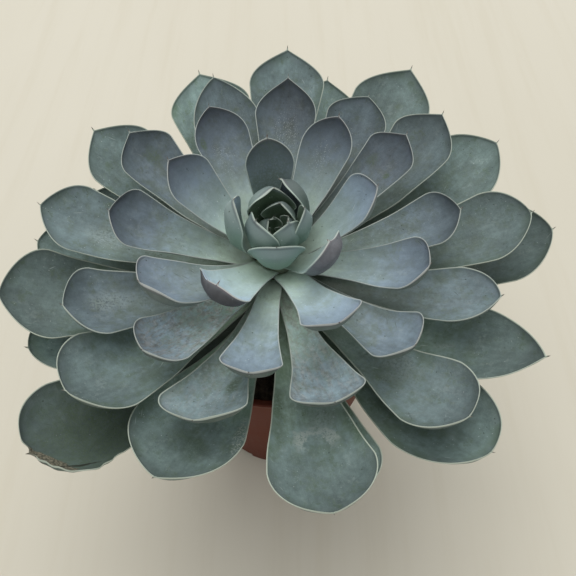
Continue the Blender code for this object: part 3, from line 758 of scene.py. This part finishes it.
def tube_faces(rows, count):
    """Quads round a stack of closed loops, with a cap at each end."""
    faces = []
    for row in range(rows - 1):
        for k in range(count):
            a, b = row * count + k, row * count + (k + 1) % count
            faces.append((a, a + count, b + count, b))
    faces.append(tuple(range(count)))
    faces.append(tuple(range(rows * count - 1, (rows - 1) * count - 1, -1)))
    return faces


# Objects

def make_mesh_object(name, points, faces, material):
    mesh = bpy.data.meshes.new(name)
    mesh.from_pydata(points.tolist(), [], faces)
    mesh.materials.append(material)
    mesh.shade_smooth()
    obj = bpy.data.objects.new(name, mesh)
    bpy.context.scene.collection.objects.link(obj)
    return obj


def store_leaf_data(mesh, data):
    """Leaf position in centimetres for the patterns, and the zones that colour follows."""
    apart = data["number"] * LEAF_APART + (1 - data["upper"]) * FACES_APART
    place = (data["along"] / MM_PER_CM, data["across"] / MM_PER_CM, apart)
    edge = np.clip(data["edge"] / EDGE_RANGE, 0, 1)
    for name, kind, field, values in (
        ("leaf_map", "FLOAT_VECTOR", "vector", place),
        ("leaf_zone", "FLOAT_COLOR", "color", (data["u"], edge, data["upper"], data["age"])),
        ("leaf_tone_and_shade", "FLOAT", "value", (data["tone_and_shade"],)),
    ):
        layer = mesh.attributes.new(name, kind, "POINT")
        layer.data.foreach_set(field, np.stack(values, axis=1).astype(np.float32).reshape(-1))


def leaf_tones_and_shade(n, data):
    """How light leaf n is drawn at each point: its own tone with painted light and shade, which
    fades towards the tip, and on the underside a painted light and shade of its own.
    """
    tweak = LEAF_TWEAKS.get(n, {})
    place = np.clip(data["u"], *FADE_SPAN)
    fading = np.exp(tweak.get("fade", 0.0) * (FADE_MIDDLE - place))
    tones = (1 + tweak.get("tone_and_shade", 0.0)) * fading
    return mix(tweak.get("under", 1.0), tones, data["upper"])


def build_leaves(material):
    for n in range(LEAF_FIRST, LEAF_LAST + 1):
        number = n - LEAF_FIRST + 1
        points, faces, data = fine_leaf(n)
        skin = material
        if n in WORN_LEAVES or n in SCARS:
            wear, scars = WORN_LEAVES.get(n, 0.0), SCARS.get(n, ())
            skin = leaf_material(f"echeveria_leaf_{number:02d}", wear, scars)
        leaf = make_mesh_object(f"blade_{number:02d}", points, faces, skin)
        store_leaf_data(leaf.data, data)
        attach(leaf, "root")
        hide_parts(f"leaf_{number:02d}")


def build_heart(material):
    """All the young leaves as one piece, with four more round the growing tip."""
    points, faces, data, start = [], [], {}, 0
    for n in range(CENTRE_FIRST, HEART_LAST + 1):
        leaf_points, leaf_faces, leaf_data = fine_leaf(n, rows=HEART_ROWS)
        points.append(leaf_points)
        faces += [tuple(i + start for i in face) for face in leaf_faces]
        for name, values in leaf_data.items():
            data.setdefault(name, []).append(values)
        start += len(leaf_points)
    heart = make_mesh_object("heart", np.concatenate(points), faces, material)
    store_leaf_data(heart.data, {name: np.concatenate(parts) for name, parts in data.items()})
    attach(heart, "root")
    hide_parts("heart_leaves")


# Materials

class Shader:
    """A short way to write a node material."""

    def __init__(self, name):
        self.material = bpy.data.materials.new(name)
        self.material.use_nodes = True
        self.tree = self.material.node_tree
        self.surface = self.tree.nodes["Principled BSDF"]

    def node(self, kind, settings=(), **inputs):
        made = self.tree.nodes.new(kind)
        for key, value in dict(settings).items():
            setattr(made, key, value)
        for key, value in inputs.items():
            self.plug(made.inputs[key.replace("_", " ")], value)
        return made

    def plug(self, socket, value):
        if isinstance(value, bpy.types.NodeSocket):
            self.tree.links.new(value, socket)
        elif hasattr(value, "__len__") and len(value) == 3 and socket.type == "RGBA":
            socket.default_value = (*value, 1.0)
        else:
            socket.default_value = value

    def attribute(self, name):
        return self.node("ShaderNodeAttribute", dict(attribute_name=name))

    def calc(self, operation, first, second=0.0, clamped=False):
        made = self.node("ShaderNodeMath", dict(operation=operation, use_clamp=clamped))
        self.plug(made.inputs[0], first)
        self.plug(made.inputs[1], second)
        return made.outputs[0]

    def add(self, first, second):
        return self.calc("ADD", first, second)

    def subtract(self, first, second, clamped=False):
        return self.calc("SUBTRACT", first, second, clamped)

    def times(self, first, *others):
        """The product of some values."""
        for other in others:
            first = self.calc("MULTIPLY", first, other)
        return first

    def step(self, value, low, high):
        """0 below low, 1 above high and smooth between; low may be the larger one."""
        made = self.node("ShaderNodeMapRange", dict(interpolation_type="SMOOTHSTEP"))
        self.plug(made.inputs["Value"], value)
        ends = (min(low, high), max(low, high), float(low > high), float(low <= high))
        for name, end in zip(("From Min", "From Max", "To Min", "To Max"), ends):
            made.inputs[name].default_value = end
        return made.outputs["Result"]

    def blend(self, share, first, second):
        made = self.node("ShaderNodeMix", dict(data_type="RGBA", clamp_factor=True))
        self.plug(made.inputs[0], share)
        self.plug(made.inputs[6], first)
        self.plug(made.inputs[7], second)
        return made.outputs[2]

    def noise(self, vector, scale, detail, roughness=0.5):
        made = self.node("ShaderNodeTexNoise", Scale=scale, Detail=detail, Roughness=roughness)
        self.plug(made.inputs["Vector"], vector)
        return made.outputs["Fac"]

    def cells(self, vector, scale):
        made = self.node("ShaderNodeTexVoronoi", Scale=scale)
        self.plug(made.inputs["Vector"], vector)
        return made.outputs["Distance"]

    def stretch(self, vector, sizes):
        made = self.node("ShaderNodeVectorMath", dict(operation="MULTIPLY"))
        self.plug(made.inputs[0], vector)
        made.inputs[1].default_value = sizes
        return made.outputs[0]

    def scale(self, colour, factor):
        made = self.node("ShaderNodeVectorMath", dict(operation="SCALE"))
        self.plug(made.inputs[0], colour)
        self.plug(made.inputs["Scale"], factor)
        return made.outputs[0]

    def bump(self, height, strength, distance):
        made = self.node("ShaderNodeBump", Strength=strength, Distance=distance)
        self.plug(made.inputs["Height"], height)
        return made.outputs["Normal"]

    def set(self, **inputs):
        for key, value in inputs.items():
            self.plug(self.surface.inputs[key.replace("_", " ")], value)


class LeafShader(Shader):
    """A leaf's skin, laid on coat by coat. Its data gives the place in centimetres, the share of
    the length, the distance to the rim (1 is EDGE_RANGE), the upper face as 1, and the age."""

    def __init__(self, name):
        super().__init__(name)
        zone = self.attribute("leaf_zone")
        split = self.node("ShaderNodeSeparateColor")
        self.plug(split.inputs[0], zone.outputs["Color"])
        self.u, self.edge, self.upper = split.outputs[0], split.outputs[1], split.outputs[2]
        self.age = zone.outputs["Alpha"]
        self.place = self.attribute("leaf_map").outputs["Vector"]
        self.cloud = self.noise(self.place, *CLOUD_NOISE)
        self.patchy = self.noise(self.place, *PATCHY_NOISE)
        self.fine = self.noise(self.place, *FINE_NOISE)
        self.grain = self.noise(self.place, *GRAIN_NOISE)
        self.ageing = self.step(self.age, *AGEING)
        self.weathered = self.add(0.35, self.times(self.step(self.age, *WEATHERING), 0.65))
        self.skin = None

    def coat(self, colour, *shares):
        """Lays a colour over the skin, as thick as the product of the shares."""
        self.skin = self.blend(self.times(*shares), self.skin, colour)

    def by_age(self, colours):
        """A young leaf's colour that turns into an old leaf's."""
        return self.blend(self.ageing, *colours)

    def areas(self, noise, low, high):
        """Places where a noise is high, with soft borders."""
        return self.step(self.noise(self.place, *noise), low, high)

    def mottle(self, noise, low, high, depth):
        """Darkens and lightens the skin as a noise goes from low to high, less on young leaves."""
        share = self.subtract(self.step(noise, low, high), 0.5)
        self.skin = self.scale(self.skin, self.add(1.0, self.times(share, depth, self.weathered)))

    def marks(self, turn, sizes, scale, reach, noise, borders, strength, colour):
        """Short marks that lie one way: long thin cells, kept only in some places."""
        turned = self.node("ShaderNodeVectorRotate", dict(rotation_type="Z_AXIS"), Angle=turn)
        self.plug(turned.inputs["Vector"], self.place)
        cells = self.cells(self.stretch(turned.outputs[0], sizes), scale)
        made = self.times(self.step(cells, *reach), self.areas(noise, *borders))
        self.coat(colour, made, strength)
        return made


def lay_bloom(s):
    """Waxy bloom: mint at the foot, blue towards the tip, mottled, and green in the heart, with
    painted shade darkening the heart's faces away from their rims.
    """
    drift = s.times(s.subtract(s.patchy, 0.5), 1.4, s.weathered)
    reach = s.add(s.u, drift)
    s.skin = s.by_age(FOOT_BLOOM)
    s.coat(s.by_age(MIDDLE_BLOOM), s.step(reach, 0.10, 0.50))
    s.coat(s.by_age(TIP_BLOOM), s.step(reach, 0.45, 0.80))
    streaks = s.noise(s.stretch(s.place, STREAK_STRETCH), *STREAK_NOISE)
    s.mottle(s.cloud, 0.36, 0.64, 0.34)
    s.mottle(s.patchy, 0.36, 0.64, 0.22)
    s.mottle(s.fine, 0.34, 0.66, 0.17)
    s.mottle(streaks, 0.36, 0.64, 0.12)
    s.coat(s.by_age(PALE_FOOT), s.step(s.u, 0.42, 0.0), 0.45)
    # Green of the young heart leaves, and painted shade deep in the heart away from their rims
    heart_face_and_shade = s.blend(s.step(s.edge, 0.0, 0.5), *HEART_FACE_AND_SHADE)
    s.coat(heart_face_and_shade, s.step(s.age, *GREEN_HEART_AGE))


def lay_margin(s):
    """A duller green-grey hollow along the tip's margin, partly its own colour and partly painted
    shade, and a painted highlight, a bluer lighter lip, in parts of it.
    """
    # Partly painted shade: the duller hollow inside the tip's raised lip
    hollow_tint_and_shade = s.times(s.step(s.edge, 0.75, 0.10), s.step(s.u, 0.55, 0.9))
    s.coat(s.by_age(HOLLOW_TINT_AND_SHADE), hollow_tint_and_shade, 0.35)
    # Painted highlight: a bluer, lighter band on the lip, in patches
    highlight_inside = s.times(s.step(s.edge, 0.14, 0.26), s.step(s.u, 0.78, 0.90))
    lip = s.times(s.step(s.edge, 0.62, 0.34), highlight_inside)
    s.coat(s.by_age(LIP_HIGHLIGHT), lip, s.times(s.step(s.cloud, 0.40, 0.55), 0.55))


def lay_patches(s):
    """Worn green patches, powdery ones, a pale grain, and green margins on old leaves."""
    worn = s.times(s.areas(WORN_NOISE, 0.53, 0.63), s.step(s.fine, 0.40, 0.58))
    s.coat(s.by_age(WORN), worn, 0.55, s.weathered)
    powder = s.times(s.areas(POWDER_NOISE, 0.54, 0.66), s.step(s.fine, 0.42, 0.60))
    s.coat(s.by_age(POWDER), powder, 0.40, s.weathered)
    s.coat(PALE_GRAIN, s.step(s.grain, 0.45, 0.80), 0.15)
    old_green = s.times(s.step(s.edge, 0.9, 0.2), s.step(s.cloud, 0.50, 0.62))
    s.coat(OLD_GREEN, old_green, s.ageing, 0.50)


def lay_underside(s):
    """Undersides: pale green in the heart, then grey-purple darkened with painted shade, and
    grey-green on older leaves.
    """
    mottling = s.step(s.patchy, 0.35, 0.7)
    # The grey-purple undersides carry painted shade as well as their own colour
    purple, green = s.blend(mottling, *PURPLE_UNDER_AND_SHADE), s.blend(mottling, *YOUNG_UNDER)
    young = s.blend(s.step(s.age, *PURPLE_UNDER_AGE), purple, green)
    heart = s.blend(s.step(s.u, 0.45, 0.85), *HEART_UNDER)
    young = s.blend(s.step(s.age, *HEART_UNDER_AGE), young, heart)
    old = s.blend(mottling, *OLD_UNDER)
    colour = s.blend(s.step(s.age, *OLD_UNDER_AGE), young, old)
    s.coat(colour, s.step(s.upper, 0.55, 0.45))


def lay_specks(s):
    """Pale specks in some places."""
    dots = s.step(s.cells(s.place, 9.0), 0.14, 0.05)
    s.coat(SPECK, s.times(dots, s.areas(SPECK_NOISE, 0.52, 0.60)), 0.75)


def lay_scurf(s, wear):
    """Brownish scurf of a worn leaf."""
    scurf = s.noise(s.stretch(s.place, SCURF_STRETCH), *SCURF_NOISE)
    colour = s.blend(s.step(s.fine, 0.38, 0.62), *SCURF)
    s.coat(colour, s.step(scurf, 0.42, 0.60), 0.60 * wear)


def lay_rim(s):
    """A painted shade line in the crease inside the tip's margin, a pale rim that is wider on old
    leaves, a blush and the tip's brown point.
    """
    # Painted shade in the crease just inside the rim near the tip
    crease_shade = s.times(s.step(s.edge, 0.06, 0.09), s.step(s.u, 0.72, 0.90))
    s.coat(CREASE_SHADE, s.times(s.step(s.edge, 0.20, 0.12), crease_shade), 0.45)
    within = s.step(s.subtract(s.edge, s.times(s.ageing, 0.016)), 0.060, 0.034)
    rim_colour = s.blend(s.step(s.age, *YOUNG_RIM_AGE), *YOUNG_RIM)
    rim_colour = s.blend(s.ageing, rim_colour, OLD_RIM)
    s.coat(rim_colour, s.times(within, s.areas(RIM_NOISE, 0.10, 0.35)), 0.90)
    blush = s.times(s.step(s.edge, 0.16, 0.04), s.step(s.u, 0.80, 0.97))
    s.coat(BLUSH, blush, s.subtract(0.18, s.times(s.ageing, 0.40), clamped=True))
    s.coat(MUCRO, s.step(s.u, 1.001, 1.010), 0.75)


def lay_scars(s, scars):
    """Marks that one leaf carries, each a ragged patch of its own kind."""
    if not scars:
        return
    split = s.node("ShaderNodeSeparateXYZ")
    s.plug(split.inputs[0], s.place)
    ragged = s.times(s.subtract(s.noise(s.place, *RAGGED_NOISE), 0.5), 1.6)
    crumbs = s.noise(s.place, *CRUMB_NOISE)
    for kind, along, across, long_half, wide_half, turn, strength in scars:
        dx, dy = s.subtract(split.outputs[0], along), s.subtract(split.outputs[1], across)
        cosine, sine = math.cos(turn * DEG), math.sin(turn * DEG)
        x = s.add(s.times(dx, cosine / long_half), s.times(dy, sine / long_half))
        y = s.subtract(s.times(dy, cosine / wide_half), s.times(dx, sine / wide_half))
        far = s.calc("SQRT", s.add(s.times(x, x), s.times(y, y)))
        share = scar_share(s, kind, x, s.add(far, ragged), crumbs)
        if kind == "dry":
            colour = s.blend(s.step(crumbs, *DRY_CRUMBS), *DRY_COLOURS)
        else:
            colour = SCAR_COLOURS[kind]
        s.coat(colour, share, strength)


def scar_share(s, kind, x, far, crumbs):
    """How full a scar is at each place, where far is 1 at its border."""
    if kind == "arc":
        ring = s.times(s.step(far, 0.45, 0.75), s.step(far, 1.15, 0.85))
        return s.times(ring, s.step(x, 0.5, -0.3), s.step(crumbs, *SCAR_CRUMBS[kind]))
    share = s.step(far, *SCAR_BORDERS[kind])
    if kind == "specks":
        return s.times(share, s.step(s.cells(s.place, 22.0), 0.33, 0.10))
    if kind in SCAR_CRUMBS:
        return s.times(share, s.step(crumbs, *SCAR_CRUMBS[kind]))
    return share


def leaf_material(name="echeveria_leaf", wear=0.0, scars=()):
    """Skin of a leaf, with its wear from 0 to 1 and its own scars."""
    s = LeafShader(name)
    lay_bloom(s)
    lay_margin(s)
    lay_patches(s)
    lay_underside(s)
    nicks = s.marks(*NICKS)
    scratches = s.marks(*SCRATCHES)
    s.marks(*PALE_SCRATCHES)
    lay_specks(s)
    if wear:
        lay_scurf(s, wear)
    # Painted light and shade: each leaf's lightness, set per leaf and along it for how it faces the
    # light
    s.skin = s.scale(s.skin, s.attribute("leaf_tone_and_shade").outputs["Fac"])
    lay_scars(s, [scar for scar in scars if scar[0] not in OPEN_SCARS])
    lay_rim(s)
    lay_scars(s, [scar for scar in scars if scar[0] in OPEN_SCARS])

    height = s.add(s.times(s.fine, 0.8), s.times(s.grain, 0.18))
    height = s.subtract(height, s.times(nicks, 0.6))
    height = s.subtract(height, s.times(scratches, 0.3))
    rough = s.add(0.46, s.times(s.patchy, 0.20))
    s.set(Base_Color=s.skin, Roughness=rough, Normal=s.bump(height, 0.35, 0.0005))
    s.surface.inputs["Specular IOR Level"].default_value = 0.35
    s.surface.inputs["Sheen Weight"].default_value = 0.08
    s.surface.inputs["Sheen Roughness"].default_value = 0.45
    s.surface.inputs["Sheen Tint"].default_value = (0.80, 0.90, 1.0, 1.0)
    return s.material


def pot_material():
    s = Shader("pot_plastic")
    place = s.node("ShaderNodeTexCoord").outputs["Object"]
    cloud = s.noise(place, 45.0, detail=5.0, roughness=0.6)
    dust = s.noise(place, 220.0, detail=6.0, roughness=0.7)
    colour = s.blend(cloud, *POT_PLASTIC)
    colour = s.blend(s.times(s.step(dust, 0.58, 0.78), 0.12), colour, POT_DUST)
    rings = s.noise(s.stretch(place, (1.0, 1.0, 60.0)), 25.0, detail=2.0)
    height = s.add(s.times(dust, 0.6), rings)
    rough = s.add(0.50, s.times(cloud, 0.25))
    s.set(Base_Color=colour, Roughness=rough, Normal=s.bump(height, 0.25, 0.0003))
    s.surface.inputs["Specular IOR Level"].default_value = 0.25
    return s.material


def soil_material():
    s = Shader("potting_soil_crumb")
    place = s.node("ShaderNodeTexCoord").outputs["Object"]
    crumb = s.noise(place, 320.0, detail=8.0, roughness=0.7)
    clods = s.cells(place, 260.0)
    colour = s.blend(s.step(crumb, 0.35, 0.7), *SOIL_CRUMB)
    colour = s.blend(s.times(s.step(clods, 0.55, 0.2), 0.4), colour, SOIL_CLOD)
    s.set(Base_Color=colour, Roughness=0.95, Normal=s.bump(s.add(crumb, clods), 0.9, 0.0012))
    return s.material


def stem_material():
    s = Shader("stem_bark")
    place = s.node("ShaderNodeTexCoord").outputs["Object"]
    fibre = s.noise(s.stretch(place, (1.0, 1.0, 0.25)), 420.0, detail=6.0, roughness=0.65)
    bands = s.noise(s.stretch(place, (0.3, 0.3, 1.0)), 300.0, detail=4.0)
    colour = s.blend(fibre, *BARK)
    colour = s.blend(s.times(s.step(bands, 0.5, 0.65), 0.5), colour, BARK_BAND)
    split = s.node("ShaderNodeSeparateXYZ")
    s.plug(split.inputs[0], place)
    green = s.blend(fibre, *GREEN_STEM)
    colour = s.blend(s.step(split.outputs[2], *GREEN_STEM_FROM), colour, green)
    s.set(Base_Color=colour, Roughness=0.88, Normal=s.bump(s.add(fibre, bands), 0.8, 0.0008))
    return s.material


def floor_material():
    s = Shader("pale_floor")
    place = s.node("ShaderNodeTexCoord").outputs["Object"]
    drift = s.noise(s.stretch(place, (1.0, 0.35, 1.0)), 6.0, detail=4.0, roughness=0.55)
    colour = s.blend(drift, *FLOOR_DRIFT)
    grain = s.noise(s.stretch(place, (9.0, 0.5, 1.0)), 10.0, detail=5.0, roughness=0.65)
    colour = s.blend(s.times(s.step(grain, 0.45, 0.70), 0.22), colour, FLOOR_GRAIN)
    s.set(Base_Color=colour, Roughness=0.75)
    return s.material


# Stage

def build_floor():
    bpy.ops.mesh.primitive_plane_add(size=FLOOR_SIZE, location=(0.0, 0.0, 0.0))
    floor = bpy.context.object
    floor.name = "floor"
    floor.data.materials.append(floor_material())


def area_light(name, place, aim, size, power, colour):
    light = bpy.data.lights.new(name, "AREA")
    light.shape = "RECTANGLE"
    light.size, light.size_y = size
    light.energy = power
    light.color = colour
    obj = bpy.data.objects.new(name, light)
    obj.location = place
    direction = Vector(aim) - Vector(place)
    obj.rotation_euler = direction.to_track_quat("-Z", "Y").to_euler()
    bpy.context.scene.collection.objects.link(obj)


def build_lights():
    """A wide far light from behind the plant, a dimmer one above, and a faint sky."""
    for light in LIGHTS:
        area_light(*light)
    world = bpy.data.worlds.new("studio")
    world.use_nodes = True
    background = world.node_tree.nodes["Background"]
    background.inputs["Color"].default_value = SKY_COLOUR
    background.inputs["Strength"].default_value = SKY_STRENGTH
    bpy.context.scene.world = world
    bpy.context.scene.view_settings.view_transform = "Standard"


def build_camera():
    camera = bpy.data.cameras.new("camera")
    camera.lens = CAMERA_LENS
    camera.sensor_width = CAMERA_SENSOR
    camera.clip_start = CAMERA_NEAREST
    obj = bpy.data.objects.new("camera", camera)
    obj.location = CAMERA_PLACE
    obj.rotation_euler = Euler((CAMERA_TILT, 0.0, 0.0))
    bpy.context.scene.collection.objects.link(obj)
    bpy.context.scene.camera = obj


def dress_node(name, material):
    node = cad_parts[name]
    node.data.materials.clear()
    node.data.materials.append(material)
    for polygon in node.data.polygons:
        polygon.material_index = 0


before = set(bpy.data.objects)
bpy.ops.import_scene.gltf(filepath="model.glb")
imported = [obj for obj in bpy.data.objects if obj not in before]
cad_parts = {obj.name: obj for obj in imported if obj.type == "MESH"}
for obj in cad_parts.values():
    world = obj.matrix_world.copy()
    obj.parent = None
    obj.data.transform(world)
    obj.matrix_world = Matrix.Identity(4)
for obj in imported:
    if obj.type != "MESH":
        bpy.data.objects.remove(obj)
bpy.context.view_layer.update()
build_floor()
build_lights()
build_camera()
leaf_skin = leaf_material()
build_leaves(leaf_skin)
build_heart(leaf_skin)
dress_node("pot", pot_material())
dress_node("soil", soil_material())
dress_node("stem", stem_material())
